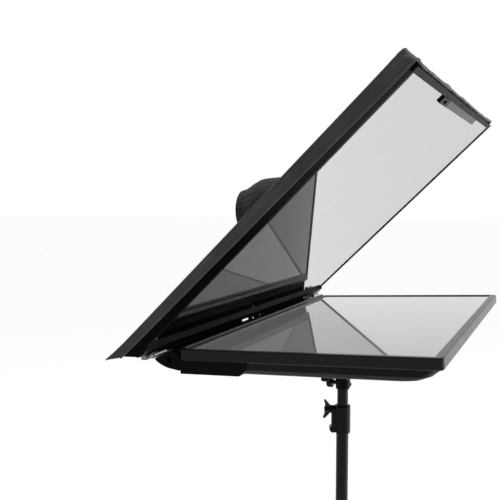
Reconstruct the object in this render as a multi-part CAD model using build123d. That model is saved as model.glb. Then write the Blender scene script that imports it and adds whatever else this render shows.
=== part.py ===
from build123d import *
import math
import os

# Free-standing teleprompter, in millimetres, +Z up, talent on the -Y side, camera on the +Y side.
# The display lies face up, a tilted beam-splitter glass stands over its rear edge, a fabric hood
# with a lens sleeve closes the glass from behind, and a folding column stand carries the head.

# ---- display -------------------------------------------------------------------------------------
SCREEN_WIDTH = 698.4
SCREEN_DEPTH = 392.85
CASING_WIDTH = 719.0
CASING_FRONT = -407.0
CASING_REAR = 20.0
CASING_CORNER = 9.0
BEZEL_RISE = 2.0
SLAB_THICKNESS = 17.0
RIDGE_Y = 13.5
RIDGE_RADIUS = 5.0
PANEL_MARGIN = 4.6
LCD_THICKNESS = 2.0
BACKLIGHT_THICKNESS = 10.0
HULL_DEPTH = 25.0
HULL_INSET = 30.0
HULL_FRONT_INSET = 50.0
HULL_WALL = 2.5

# ---- glass and its frame, in the frame's own axes: x across, s up the slope, n towards the camera ----
GLASS_ANGLE = 40.63
GLASS_FOOT_Y = 53.1
GLASS_FOOT_Z = 3.8
FRAME_HALF = 428.0
FRAME_TOP = 600.0
SIDE_LIP = 8.0
TOP_LIP = 10.0
GLASS_START = 18.0
FRAME_DEPTH = 19.0
KEY_THICKNESS = 1.4
FRAME_BASE_Z = 2.0
LEDGE_FRONT = -4.0
GLASS_RECESS = 2.0
GLASS_THICKNESS = 4.0
REBATE = 4.0
HOOD_DEPTH = 29.6
SEAM_FOOT = 17.0
SEAM_TOP = 7.8
HOOD_CLEARANCE = 0.4
FABRIC = 1.6

# ---- lens sleeve, in the head's axes -------------------------------------------------------------
LENS_Z = 222.0
SLEEVE_RADIUS = 66.0
SLEEVE_MOUTH_RADIUS = 45.0
SLEEVE_TAPER_Y = -6.0
SLEEVE_END_Y = 48.0

# ---- hinge between display and glass frame -------------------------------------------------------
HINGE_Y = 42.0
HINGE_Z = -1.0
KNUCKLE_RADIUS = 4.2
HINGE_PIN_RADIUS = 2.0
RAIL_HALF = 359.5
RAIL_TOP = -5.0
LEAF_OUTER = 402.0

# ---- stand ---------------------------------------------------------------------------------------
STAND_Y = -146.0
TILT_PIVOT_Z = -95.0
HEAD_TILT = 3.4
PIVOT_HEIGHT = 1000.0
BASE_TUBE = 15.0
MID_TUBE = 12.5
UPPER_TUBE = 11.0
TUBE_WALL = 1.5
BASE_TUBE_BOTTOM = 30.0
BASE_TUBE_TOP = 660.0
LEG_ANGLE = 62.0
LEG_LENGTH = 640.0
LEG_RADIUS = 11.0
BRACE_LENGTH = 260.0
LEG_PIVOT_RADIUS = 40.0
FOOT_RADIUS = 15.0
FOOT_HEIGHT = 11.0
LEG_AZIMUTHS = (270.0, 30.0, 150.0)
COLLAR_AZIMUTH = 114.0
RUNNING = 0.05
CLEAR = 0.3
BOLT_RADIUS = 2.0
BOLT_HEAD = 3.8

HUB_PIVOT_Z = FOOT_HEIGHT + LEG_LENGTH * math.cos(math.radians(LEG_ANGLE))
RING_PIVOT_Z = HUB_PIVOT_Z - 2 * BRACE_LENGTH * math.cos(math.radians(LEG_ANGLE))
SOCKET_BOTTOM = PIVOT_HEIGHT - 48.0
UPPER_COLLAR_TOP = PIVOT_HEIGHT - 81.0
UPPER_COLLAR_BOTTOM = PIVOT_HEIGHT - 137.0

glass_cos = math.cos(math.radians(GLASS_ANGLE))
glass_sin = math.sin(math.radians(GLASS_ANGLE))

# The head's own axes have their origin on the display surface at the rear edge of the picture.
HEAD = Pos(0, 0, PIVOT_HEIGHT) * Rot(-HEAD_TILT, 0, 0) * Pos(0, -STAND_Y, -TILT_PIVOT_Z)
FRAME_PLANE = Plane(origin=(0, GLASS_FOOT_Y, GLASS_FOOT_Z), x_dir=(1, 0, 0), z_dir=(0, glass_sin, glass_cos))
FRAME = HEAD * FRAME_PLANE.location


def block(x0, x1, y0, y1, z0, z1):
    """A box between two corners."""
    return Pos((x0 + x1) / 2, (y0 + y1) / 2, (z0 + z1) / 2) * Box(x1 - x0, y1 - y0, z1 - z0)


def sloped(x0, x1, s0, s1, n0, n1):
    """A box in the glass frame's axes: s runs up the slope, n towards the camera."""
    return block(x0, x1, -s1, -s0, n0, n1)


def base_s(n):
    """How far up the slope the frame's flat base lies, at a depth n."""
    return (FRAME_BASE_Z - GLASS_FOOT_Z - n * glass_cos) / glass_sin


def rod(radius, low, high):
    """A cylinder about Z between two heights."""
    return Pos(0, 0, (low + high) / 2) * Cylinder(radius, high - low)


def tube(radius, wall, low, high):
    return rod(radius, low, high) - rod(radius - wall, low - 1, high + 1)


def along_x(radius, x0, x1):
    return Pos((x0 + x1) / 2, 0, 0) * Rot(0, 90, 0) * Cylinder(radius, x1 - x0)


def along_y(radius, y0, y1):
    return Pos(0, (y0 + y1) / 2, 0) * Rot(90, 0, 0) * Cylinder(radius, y1 - y0)


def bolt(length, head=BOLT_HEAD, radius=BOLT_RADIUS):
    """A pan-head bolt that points down -Z, its head resting on z = 0."""
    head_part = chamfer(rod(head, 0, 2.2).edges().group_by(Axis.Z)[-1], 0.8)
    socket = Pos(0, 0, 1.0) * extrude(RegularPolygon(1.7, 6), 2.0)
    return head_part + rod(radius, -length, 0) - socket


def spread(shape, places):
    return Part() + [place * shape for place in places]


def in_head(shape):
    return HEAD * shape


def in_frame(shape):
    return FRAME * shape


# ---- the display ---------------------------------------------------------------------------------
def front_bezel():
    mid_y = (CASING_FRONT + CASING_REAR) / 2
    outline = RectangleRounded(CASING_WIDTH, CASING_REAR - CASING_FRONT, CASING_CORNER)
    body = Pos(0, mid_y, -SLAB_THICKNESS) * extrude(outline, SLAB_THICKNESS + BEZEL_RISE)
    body = fillet(body.edges().group_by(Axis.Z)[-1], 1.8)
    body = fillet(body.edges().group_by(Axis.Z)[0], 3.0)
    ridge = Pos(0, RIDGE_Y, 0) * along_x(RIDGE_RADIUS, -CASING_WIDTH / 2 + 8, CASING_WIDTH / 2 - 8)
    body += ridge - block(-400, 400, -50, 50, -20, -3)
    window = block(-SCREEN_WIDTH / 2, SCREEN_WIDTH / 2, -SCREEN_DEPTH, 0, -1, BEZEL_RISE + 1)
    pocket = block(
        -SCREEN_WIDTH / 2 - PANEL_MARGIN,
        SCREEN_WIDTH / 2 + PANEL_MARGIN,
        -SCREEN_DEPTH - PANEL_MARGIN,
        PANEL_MARGIN,
        -SLAB_THICKNESS - 1,
        0,
    )
    body -= window + pocket
    inner_rim = body.edges().filter_by(
        lambda e: abs(e.center().Z - BEZEL_RISE) < 0.01
        and abs(e.center().X) < SCREEN_WIDTH / 2 + 0.1
        and -SCREEN_DEPTH - 0.1 < e.center().Y < 0.1
    )
    return chamfer(inner_rim, 1.4)


def panel_layer(low, high, shrink):
    half = SCREEN_WIDTH / 2 + PANEL_MARGIN - shrink
    return block(-half, half, -SCREEN_DEPTH - PANEL_MARGIN + shrink, PANEL_MARGIN - shrink, low, high)


def lcd_glass():
    return panel_layer(-LCD_THICKNESS, 0, 0.3)


def backlight_unit():
    return panel_layer(-LCD_THICKNESS - BACKLIGHT_THICKNESS, -LCD_THICKNESS, 0.6)


def hull(offset_in):
    """The tray under the slab: full width at the top, drawn in towards a flat underside."""
    top_z = -SLAB_THICKNESS
    low_z = -SLAB_THICKNESS - HULL_DEPTH + offset_in
    half = CASING_WIDTH / 2 - 4.0
    rear = CASING_REAR - 4.0
    front = CASING_FRONT + 4.0
    steps = ((0.0, 0.0), (0.55, 0.34), (0.86, 0.68), (1.0, 1.0))
    sections = []
    for down, inward in steps:
        z = top_z + (low_z - top_z) * down
        x = half - HULL_INSET * inward - offset_in
        y_front = front + HULL_FRONT_INSET * inward + offset_in
        y_rear = rear - 14.0 * inward - offset_in
        section = RectangleRounded(2 * x, y_rear - y_front, 16.0)
        sections.append(Pos(0, (y_front + y_rear) / 2, z) * section)
    return loft(sections, ruled=True)


HULL_BOTTOM = -SLAB_THICKNESS - HULL_DEPTH
BUTTON_PITCH = 22.0
BUTTON_X = 200.0
BUTTON_Y = -330.0
BUTTON_RADIUS = 4.0
VESA_X = 200.0
VESA_Y = 100.0
VENT_COUNT = 14
VENT_PITCH = 8.0
VENT_START = 140.0
VENT_Y = -270.0
VENT_LENGTH = 46.0
VENT_WIDTH = 3.2


def rear_shell():
    shell = hull(0) - hull(HULL_WALL)
    for i in range(3):
        shell -= Pos(BUTTON_X + i * BUTTON_PITCH, BUTTON_Y, HULL_BOTTOM) * Cylinder(BUTTON_RADIUS + CLEAR, 12)
    shell -= block(100, 130, -70, -46, HULL_BOTTOM - 5, HULL_BOTTOM + 5)
    shell -= block(150, 236, -70, -46, HULL_BOTTOM - 5, HULL_BOTTOM + 5)
    slot = extrude(SlotOverall(VENT_LENGTH, VENT_WIDTH, rotation=90), 10)
    vents = []
    for side in (-1, 1):
        for i in range(VENT_COUNT):
            x = side * (VENT_START + i * VENT_PITCH)
            vents.append(Pos(x, VENT_Y, HULL_BOTTOM - 5) * slot)
    shell -= vents
    bosses = []
    for x in (-VESA_X / 2, VESA_X / 2):
        for y in (-VESA_Y / 2, VESA_Y / 2):
            bosses.append(Pos(x, STAND_Y + y, 0))
    shell += spread(rod(6.0, HULL_BOTTOM + HULL_WALL - 0.5, -SLAB_THICKNESS - 4), bosses)
    shell -= spread(rod(BOLT_RADIUS, HULL_BOTTOM - 1, HULL_BOTTOM + 16), bosses)
    return shell


def power_board():
    board = block(-260, -112, -330, -190, -28, -26.4)
    board += block(-250, -220, -320, -250, -26.4, -18)
    board += block(-200, -160, -310, -270, -26.4, -17.5)
    return board + Pos(-135, -230, -22.4) * Cylinder(8, 8)


def video_board():
    board = block(112, 250, -190, -74, -30, -28.4)
    board += block(150, 190, -150, -110, -28.4, -25)
    return board + block(205, 240, -170, -130, -28.4, -24)


def power_inlet():
    body = block(100.3, 129.7, -69.7, -46.3, HULL_BOTTOM - 1.5, HULL_BOTTOM + 12)
    cavity = block(104, 126, -66, -50, HULL_BOTTOM - 3, HULL_BOTTOM + 9)
    pins = []
    for x, y in ((109, -60), (121, -60), (115, -55)):
        pins.append(block(x - 1, x + 1, y - 2, y + 2, HULL_BOTTOM + 2, HULL_BOTTOM + 10))
    return body - cavity + pins


def video_sockets():
    plate = block(150.3, 235.7, -69.7, -46.3, HULL_BOTTOM, HULL_BOTTOM + 2)
    hdmi = block(206, 224, -61, -54, HULL_BOTTOM - 2, HULL_BOTTOM + 8)
    hdmi -= block(207.5, 222.5, -59.8, -55.2, HULL_BOTTOM - 3, HULL_BOTTOM + 6)
    parts = plate - block(206, 224, -61, -54, HULL_BOTTOM - 1, HULL_BOTTOM + 3) + hdmi
    for x in (164, 188):
        barrel = Pos(x, -58, 0) * tube(4.8, 1.2, HULL_BOTTOM - 9, HULL_BOTTOM)
        barrel += Pos(x, -58, 0) * rod(1.0, HULL_BOTTOM - 8, HULL_BOTTOM)
        lugs = Pos(x, -58, HULL_BOTTOM - 6) * Rot(90, 0, 0) * Cylinder(1.0, 12.4)
        lugs -= Pos(x, -58, 0) * rod(4.0, HULL_BOTTOM - 9, HULL_BOTTOM)
        parts += barrel + lugs
    return parts


CASING_SCREW_PLACES = ((-300, -60), (300, -60), (-300, -325), (300, -325), (0, -325))


def casing_screws():
    """Identical M3 screws, up through the hull's floor into the backlight's frame."""
    screw = Rot(180, 0, 0) * bolt(28.0, 2.6, 1.4)
    return Compound([Pos(x, y, HULL_BOTTOM) * screw for x, y in CASING_SCREW_PLACES])


def rubber_bumpers():
    """Four turned rubber feet on the hull, for resting the head on a bench."""
    profile = rod(6.5, HULL_BOTTOM - 9, HULL_BOTTOM)
    bumper = fillet(profile.edges().group_by(Axis.Z)[0], 1.6)
    places = [Pos(x, y, 0) for x, y in ((-308, -214), (308, -214), (-150, -330), (150, -330))]
    return Compound([place * bumper for place in places])


def button(index):
    cap = rod(BUTTON_RADIUS, HULL_BOTTOM - 2.2, HULL_BOTTOM + 5)
    cap = fillet(cap.edges().group_by(Axis.Z)[0], 0.8)
    return Pos(BUTTON_X + index * BUTTON_PITCH, BUTTON_Y, 0) * cap


# ---- the rail, brackets and hinge behind the display ----------------------------------------------
def hinge_rail():
    """The rounded extrusion behind the casing that carries the glass frame's hinge."""
    with BuildSketch(Plane.YZ) as profile:
        with BuildLine():
            top = Line((CASING_REAR, RAIL_TOP), (56, RAIL_TOP))
            rear = ThreePointArc(top @ 1, (64.5, -9.5), (63.5, -18.0))
            under = ThreePointArc(rear @ 1, (48, -27.0), (30, -31.5))
            foot = Line(under @ 1, (CASING_REAR, -33.5))
            Line(foot @ 1, (CASING_REAR, RAIL_TOP))
        make_face()
    rail = Pos(-RAIL_HALF, 0, 0) * extrude(profile.sketch, 2 * RAIL_HALF)
    rail -= along_x_at(5.0, -RAIL_HALF - 1, RAIL_HALF + 1, 38, -17)
    rail -= Pos(LATCH_X, HINGE_Y, RAIL_TOP - 4) * Cylinder(2.0, 12)
    return rail


def along_x_at(radius, x0, x1, y, z):
    return Pos(0, y, z) * along_x(radius, x0, x1)


LATCH_X = 4.0
LATCH_POST = 4.0


def latch_block():
    """The post on the rail that the latch turns on."""
    plate = block(LATCH_X - 14, LATCH_X + 14, 34, 50, RAIL_TOP, RAIL_TOP + 1.6)
    post = Pos(LATCH_X, HINGE_Y, 0) * rod(LATCH_POST - 1.5, RAIL_TOP + 1.6, RAIL_TOP + 6.6)
    cap = Pos(LATCH_X, HINGE_Y, 0) * rod(2.0, RAIL_TOP - 9, RAIL_TOP)
    return plate + post + cap


def latch_lever():
    """A turn button: it hooks over the frame's lower edge and has a polished thumb tab."""
    z0 = RAIL_TOP + 1.6 + CLEAR
    z1 = z0 + 4.4
    disc = Pos(LATCH_X, HINGE_Y, 0) * rod(6.4, z0, z1)
    tab = block(LATCH_X, LATCH_X + 22, HINGE_Y - 4.6, HINGE_Y + 1.4, z0, z1)
    tab += Pos(LATCH_X + 20, HINGE_Y - 4.0, 0) * rod(3.4, z0, z1 + 3.0)
    lever = disc + tab
    return lever - Pos(LATCH_X, HINGE_Y, 0) * rod(LATCH_POST - 1.5 + RUNNING, z0 - 1, z1 + 4)


def side_bracket(side):
    """The angle casting under the casing's edge, chamfered at its front end."""
    outer = RAIL_HALF - 1.5
    with BuildSketch(Plane.YZ) as profile:
        Polygon(
            (CASING_REAR - 1.5, -SLAB_THICKNESS),
            (CASING_REAR - 1.5, -38.6),
            (-88, -38.6),
            (-100, -30),
            (-100, -SLAB_THICKNESS),
            align=None,
        )
    web = Pos(outer - 4, 0, 0) * extrude(profile.sketch, 4)
    flange = block(outer - 22, outer, -88, CASING_REAR - 1.5, -38.6, -35.6)
    part = web + flange
    for i in range(3):
        part += block(outer - 10, outer - 4, -70 + 36 * i, -67 + 36 * i, -36, -24)
    part -= hull(-0.6)
    if side < 0:
        part = mirror(part, Plane.YZ)
    return part


def bracket_bolts():
    """Identical M4 bolts: five along each bracket and four through the head plate."""
    bolts = []
    for side in (-1, 1):
        for y in (10, -12, -34, -56, -78):
            bolts.append(Pos(side * (RAIL_HALF - 14), y, -38.6) * Rot(180, 0, 0) * bolt(3.0))
    for x in (-VESA_X / 2, VESA_X / 2):
        for y in (-VESA_Y / 2, VESA_Y / 2):
            place = Pos(x, STAND_Y + y, HULL_BOTTOM - PLATE_THICKNESS) * Rot(180, 0, 0)
            bolts.append(place * bolt(PLATE_THICKNESS + 10))
    return Compound(bolts)


KNUCKLE_SPANS = ((364.0, 376.0), (390.0, 402.0))
MOVING_KNUCKLE = (376.4, 389.6)


def hinge_axis_rod(radius, x0, x1):
    return along_x_at(radius, x0, x1, HINGE_Y, HINGE_Z)


def fixed_leaf():
    leaf = block(330, LEAF_OUTER, 48, 56, RAIL_TOP, RAIL_TOP + 2.2)
    for x0, x1 in KNUCKLE_SPANS:
        leaf += hinge_axis_rod(KNUCKLE_RADIUS, x0, x1)
        leaf += block(x0, x1, HINGE_Y, 48.5, RAIL_TOP, RAIL_TOP + 2.2)
    leaf += block(361.0, LEAF_OUTER, 55, 64, RAIL_TOP - 3, RAIL_TOP + 2.2)
    leaf -= hinge_axis_rod(HINGE_PIN_RADIUS, 360, 404)
    return leaf


def hinge_leaves_fixed():
    right = fixed_leaf()
    return Compound([right, mirror(right, Plane.YZ)])


def hinge_pins():
    pin = hinge_axis_rod(HINGE_PIN_RADIUS, 362.5, 403.5)
    pin += hinge_axis_rod(3.0, 403.5, 405.5)
    return Compound([pin, mirror(pin, Plane.YZ)])


def moving_leaf():
    leaf = block(372, 412, 50, 76, FRAME_BASE_Z - 3.2, FRAME_BASE_Z)
    x0, x1 = MOVING_KNUCKLE
    leaf += hinge_axis_rod(KNUCKLE_RADIUS, x0, x1)
    leaf += block(x0, x1, HINGE_Y, 51, FRAME_BASE_Z - 3.2, FRAME_BASE_Z - 0.6)
    leaf -= hinge_axis_rod(HINGE_PIN_RADIUS + RUNNING, 360, 404)
    return leaf


def hinge_leaves_moving():
    right = moving_leaf()
    return Compound([right, mirror(right, Plane.YZ)])


# ---- the glass frame -----------------------------------------------------------------------------
def bottom_bar():
    """Its front stands proud of the side bars; flat horizontal base, closed at the back."""
    with BuildSketch(Plane.YZ) as profile:
        Polygon(
            (-GLASS_START, LEDGE_FRONT),
            (-base_s(LEDGE_FRONT), LEDGE_FRONT),
            (-base_s(FRAME_DEPTH), FRAME_DEPTH),
            (-GLASS_START, FRAME_DEPTH),
            align=None,
        )
    bar = Pos(-FRAME_HALF, 0, 0) * extrude(profile.sketch, 2 * FRAME_HALF)
    bar -= glass_space()
    return fillet(bar.edges().filter_by(Axis.X).sort_by(Axis.Z)[0:2], 1.0)


def glass_space():
    half = FRAME_HALF - SIDE_LIP + REBATE
    return sloped(
        -half, half, GLASS_START - REBATE, FRAME_TOP - TOP_LIP + REBATE, GLASS_RECESS,
        GLASS_RECESS + GLASS_THICKNESS + 1.4,
    )


def top_bar():
    bar = sloped(-FRAME_HALF, FRAME_HALF, FRAME_TOP - TOP_LIP, FRAME_TOP, 0, FRAME_DEPTH)
    bar -= glass_space()
    return fillet(bar.edges().filter_by(Axis.X).group_by(Axis.Z)[0], 1.0)


def side_bar(side):
    x0, x1 = FRAME_HALF - SIDE_LIP, FRAME_HALF
    bar = sloped(x0, x1, GLASS_START, FRAME_TOP - TOP_LIP, 0, FRAME_DEPTH)
    bar -= glass_space()
    bar = fillet(bar.edges().filter_by(Axis.Y).group_by(Axis.Z)[0], 1.0)
    return bar if side > 0 else mirror(bar, Plane.YZ)


def corner_keys():
    """Angle plates behind the four frame corners, inside the hood."""
    keys = []
    for side in (-1, 1):
        for s, up in ((GLASS_START + 2, 1), (FRAME_TOP - TOP_LIP - 2, -1)):
            x1 = side * (FRAME_HALF - 1)
            x0 = side * (FRAME_HALF - 50)
            s_in = s + up * 46
            s_out = s - up * 8
            s_edge = s - up * 1
            x_in = side * (FRAME_HALF - 7)
            n0, n1 = FRAME_DEPTH, FRAME_DEPTH + KEY_THICKNESS
            arm_x = sloped(min(x0, x1), max(x0, x1), min(s_out, s_edge), max(s_out, s_edge), n0, n1)
            arm_s = sloped(min(x_in, x1), max(x_in, x1), min(s_out, s_in), max(s_out, s_in), n0, n1)
            keys.append(arm_x + arm_s)
    return Compound(keys)


def beam_splitter_glass():
    half = FRAME_HALF - SIDE_LIP + REBATE - 0.5
    low, high = GLASS_START - REBATE + 0.5, FRAME_TOP - TOP_LIP + REBATE - 0.5
    pane = sloped(-half, half, low, high, GLASS_RECESS, GLASS_RECESS + GLASS_THICKNESS)
    return chamfer(pane.edges().group_by(Axis.Z)[0], 0.4)


def glass_gasket():
    """The soft strip that fills the rebate behind the glass."""
    half = FRAME_HALF - SIDE_LIP + REBATE - 0.3
    low, high = GLASS_START - REBATE + 0.3, FRAME_TOP - TOP_LIP + REBATE - 0.3
    n0 = GLASS_RECESS + GLASS_THICKNESS
    outer = sloped(-half, half, low, high, n0, n0 + 1.3)
    inner = sloped(-half + 3.5, half - 3.5, low + 3.5, high - 3.5, n0 - 1, n0 + 2)
    return outer - inner


def frame_screws():
    """Identical M4 screws: the frame's corners and the hinge leaves."""
    screws = []
    for side in (-1, 1):
        for s, n in ((11.5, 5.0), (596, 4.0)):
            place = FRAME * Pos(side * FRAME_HALF, -s, n) * Rot(0, 90 * side, 0)
            screws.append(place * bolt(5.0, 3.0, 1.6))
        for x in (378, 396, 406):
            place = HEAD * Pos(side * x, 67, FRAME_BASE_Z - 3.2) * Rot(180, 0, 0)
            screws.append(place * bolt(8.0, 3.0, 1.6))
    return Compound(screws)


def glass_clip():
    """A small black keeper on the top edge of the glass."""
    arm = sloped(-182, -121, 577, 590, GLASS_RECESS - 3.4, GLASS_RECESS)
    arm = fillet(arm.edges().filter_by(Axis.Z), 1.5)
    return arm + Pos(-151.5, -583.5, GLASS_RECESS - 4.6) * Cylinder(3.4, 2.4)


def label_strip():
    return sloped(-118, 220, 577, 590, GLASS_RECESS - 1.0, GLASS_RECESS)


def light_seal():
    """Two foam strips that close the slot between the frame and the rail."""
    right = block(34, 358, 64, 74, RAIL_TOP - 1.5, FRAME_BASE_Z)
    left = block(-358, -16, 64, 74, RAIL_TOP - 1.5, FRAME_BASE_Z)
    return Compound([left, right])


# ---- the hood and the lens sleeve ----------------------------------------------------------------
def sleeve_solid(grow):
    """The sleeve's outline turned about the lens axis: straight, then drawn in at its mouth."""
    r_tail = SLEEVE_RADIUS + grow
    r_end = SLEEVE_MOUTH_RADIUS + grow
    with BuildSketch(Plane.YZ) as profile:
        with BuildLine():
            Line((-330, 0), (-330, r_tail))
            Line((-330, r_tail), (SLEEVE_TAPER_Y, r_tail))
            Spline(
                (SLEEVE_TAPER_Y, r_tail),
                (SLEEVE_TAPER_Y + 34, (r_tail + r_end) / 2 + 3),
                (SLEEVE_END_Y, r_end),
                tangents=((1, 0), (0.55, -0.83)),
            )
            Line((SLEEVE_END_Y, r_end), (SLEEVE_END_Y, 0))
            Line((SLEEVE_END_Y, 0), (-330, 0))
        make_face()
    return Pos(0, 0, LENS_Z) * revolve(profile.sketch, Axis.Y)


SEAM_TAPER = math.degrees(math.atan((SEAM_FOOT - SEAM_TOP) / FRAME_TOP))


def lens_sleeve():
    mouth = Pos(0, 0, LENS_Z) * along_y(SLEEVE_MOUTH_RADIUS - FABRIC, 0, 80)
    tube_part = sleeve_solid(0) - sleeve_solid(-FABRIC) - mouth
    return tube_part & (FRAME_PLANE.location * block(-700, 700, -900, 400, HOOD_DEPTH, HOOD_DEPTH + 900))


def sleeve_elastic():
    """The elastic band sewn round the sleeve's mouth."""
    ring = Pos(0, SLEEVE_END_Y + 2.5, LENS_Z) * Rot(90, 0, 0) * Torus(SLEEVE_MOUTH_RADIUS - 1.5, 2.4)
    return ring


def hood_shroud():
    """A fabric tray: it wraps the frame's outer side and closes the back behind the glass."""
    inner_x = FRAME_HALF + HOOD_CLEARANCE
    inner_top = FRAME_TOP + HOOD_CLEARANCE
    low_s = base_s(HOOD_DEPTH)
    outer = sloped(-inner_x - FABRIC, inner_x + FABRIC, low_s, inner_top + FABRIC, SEAM_TOP, HOOD_DEPTH)
    outer = fillet(outer.edges().filter_by(Axis.Z), 5.0)
    inner = sloped(-inner_x, inner_x, low_s - 5, inner_top, SEAM_TOP - 1, HOOD_DEPTH - FABRIC)
    before_seam = Pos(0, 0, SEAM_FOOT) * Rot(SEAM_TAPER, 0, 0) * block(-700, 700, -900, 400, -900, 0)
    tray = FRAME_PLANE.location * (outer - inner - before_seam)
    tray -= block(-500, 500, -100, 200, -200, FRAME_BASE_Z)
    return tray - sleeve_solid(-FABRIC)


# ---- the head plate and tilt joint ---------------------------------------------------------------
PLATE_THICKNESS = 5.0
EAR_GAP = 30.4
EAR_THICKNESS = 7.0
EAR_RADIUS = 16.0
TILT_BOLT_RADIUS = 5.0
ACCESSORY_X = 88.0
ACCESSORY_RADIUS = 3.175


def head_plate():
    top = HULL_BOTTOM
    low = top - PLATE_THICKNESS
    plate = Pos(0, STAND_Y, low) * extrude(RectangleRounded(232, 132, 12), PLATE_THICKNESS)
    plate = chamfer(plate.edges().group_by(Axis.Z)[0], 1.0)
    for x in (-VESA_X / 2, VESA_X / 2):
        for y in (-VESA_Y / 2, VESA_Y / 2):
            plate -= Pos(x, STAND_Y + y, top) * Cylinder(BOLT_RADIUS, 4 * PLATE_THICKNESS)
    for x in (-ACCESSORY_X, ACCESSORY_X):
        plate -= Pos(x, STAND_Y, top) * Cylinder(ACCESSORY_RADIUS, 4 * PLATE_THICKNESS)
    return plate


def tilt_clevis():
    """Two ears under the head plate that straddle the stand's pivot block."""
    top = HULL_BOTTOM - PLATE_THICKNESS
    parts = Pos(0, STAND_Y, 0) * block(-30, 30, -28, 28, top - 6, top)
    for side in (-1, 1):
        x0 = side * EAR_GAP / 2
        x1 = side * (EAR_GAP / 2 + EAR_THICKNESS)
        low, high = min(x0, x1), max(x0, x1)
        parts += block(low, high, STAND_Y - EAR_RADIUS, STAND_Y + EAR_RADIUS, TILT_PIVOT_Z, top - 5)
        parts += along_x_at(EAR_RADIUS, low, high, STAND_Y, TILT_PIVOT_Z)
    return parts - along_x_at(TILT_BOLT_RADIUS + RUNNING, -60, 60, STAND_Y, TILT_PIVOT_Z)


def stand_socket():
    """A casting: pivot block on top, socket for the column's upper tube below."""
    block_part = Pos(0, 0, PIVOT_HEIGHT) * along_x(15.0, -15, 15)
    neck = block(-15, 15, -13, 13, PIVOT_HEIGHT - 26, PIVOT_HEIGHT)
    barrel = rod(14.25, SOCKET_BOTTOM + 3, PIVOT_HEIGHT - 18)
    barrel += Pos(0, 0, SOCKET_BOTTOM + 1.5) * Cone(12.6, 14.25, 3.0)
    part = block_part + neck + barrel
    part -= rod(UPPER_TUBE + RUNNING, SOCKET_BOTTOM - 1, PIVOT_HEIGHT - 24)
    part -= Pos(0, 0, PIVOT_HEIGHT) * along_x(TILT_BOLT_RADIUS + RUNNING, -40, 40)
    part -= Pos(0, 0, SOCKET_KNOB_Z) * along_y(4.0 + RUNNING, 5, 20)
    return part


SOCKET_KNOB_Z = PIVOT_HEIGHT - 36.0


def knob(shaft_radius, shaft_length, grip_radius, grip_length, lobes):
    """A lobed clamping knob on +Z: the shaft runs from z = 0 up to the grip."""
    grip = rod(grip_radius, shaft_length, shaft_length + grip_length)
    grip = fillet(grip.edges().group_by(Axis.Z)[-1], grip_length * 0.25)
    for i in range(lobes):
        angle = 360.0 / lobes * i
        flute = Rot(0, 0, angle) * Pos(grip_radius * 1.18, 0, shaft_length + grip_length / 2)
        grip -= flute * Cylinder(grip_radius * 0.38, grip_length + 2)
    return grip + rod(shaft_radius, 0, shaft_length)


def wing(reach, thickness, height):
    """One swept wing of a wing knob, in the plane through the knob's axis."""
    with BuildSketch(Plane.XZ) as profile:
        with BuildLine():
            low = Line((0, 0), (5, 0))
            sweep = Spline(low @ 1, (reach * 0.55, height * 0.34), (reach, height * 0.9))
            tip = Line(sweep @ 1, (reach * 0.98, height * 1.12))
            back = Spline(tip @ 1, (reach * 0.5, height * 0.92), (4, height * 0.9))
            Line(back @ 1, (0, height * 0.9))
            Line((0, height * 0.9), (0, 0))
        make_face()
    blade = extrude(profile.sketch, thickness / 2, both=True)
    return fillet(blade.edges().filter_by(Axis.Y), 0.6)


def wing_knob(shaft_radius, shaft_length, reach):
    hub_height = 14.0
    hub = Pos(0, 0, shaft_length) * Pos(0, 0, hub_height / 2) * Cone(8.4, 5.2, hub_height)
    part = hub + rod(shaft_radius, 0, shaft_length + 1)
    for turn in (0, 180):
        part += Pos(0, 0, shaft_length) * Rot(0, 0, turn) * wing(reach, 5.0, hub_height)
    return part


def socket_knob():
    """It presses on the upper tube through the socket's wall, from the camera's side."""
    return Pos(0, UPPER_TUBE + CLEAR, SOCKET_KNOB_Z) * Rot(-90, 0, 0) * knob(4.0, 9.0, 11.0, 12.0, 5)


def tilt_lever():
    """The clamping bolt of the tilt joint with its lever on the far side."""
    x1 = EAR_GAP / 2 + EAR_THICKNESS
    shaft = along_x(TILT_BOLT_RADIUS, -x1 - 1.2, x1 + 1.2)
    head = along_x(9.0, -x1 - 7.5, -x1 - CLEAR)
    boss = along_x(9.0, x1 + CLEAR, x1 + 12)
    arm = Pos(x1 + 8, 0, -6) * Rot(0, -14, 0) * Pos(0, 0, -22) * Cylinder(4.0, 44)
    tip = Pos(x1 + 8, 0, -6) * Rot(0, -14, 0) * Pos(0, 0, -44) * Sphere(6.0)
    return Pos(0, 0, PIVOT_HEIGHT) * (shaft + head + boss + arm + tip)


# ---- the column ----------------------------------------------------------------------------------
def upper_tube():
    return tube(UPPER_TUBE, TUBE_WALL, 420.0, PIVOT_HEIGHT - 25.0)


def mid_tube():
    return tube(MID_TUBE, 1.2, 220.0, UPPER_COLLAR_BOTTOM + 36.0)


def base_column():
    column = tube(BASE_TUBE, 2.1, BASE_TUBE_BOTTOM, BASE_TUBE_TOP)
    cap = rod(BASE_TUBE + 1.5, BASE_TUBE_BOTTOM - 4, BASE_TUBE_BOTTOM)
    return column + chamfer(cap.edges().group_by(Axis.Z)[0], 1.0)


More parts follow.
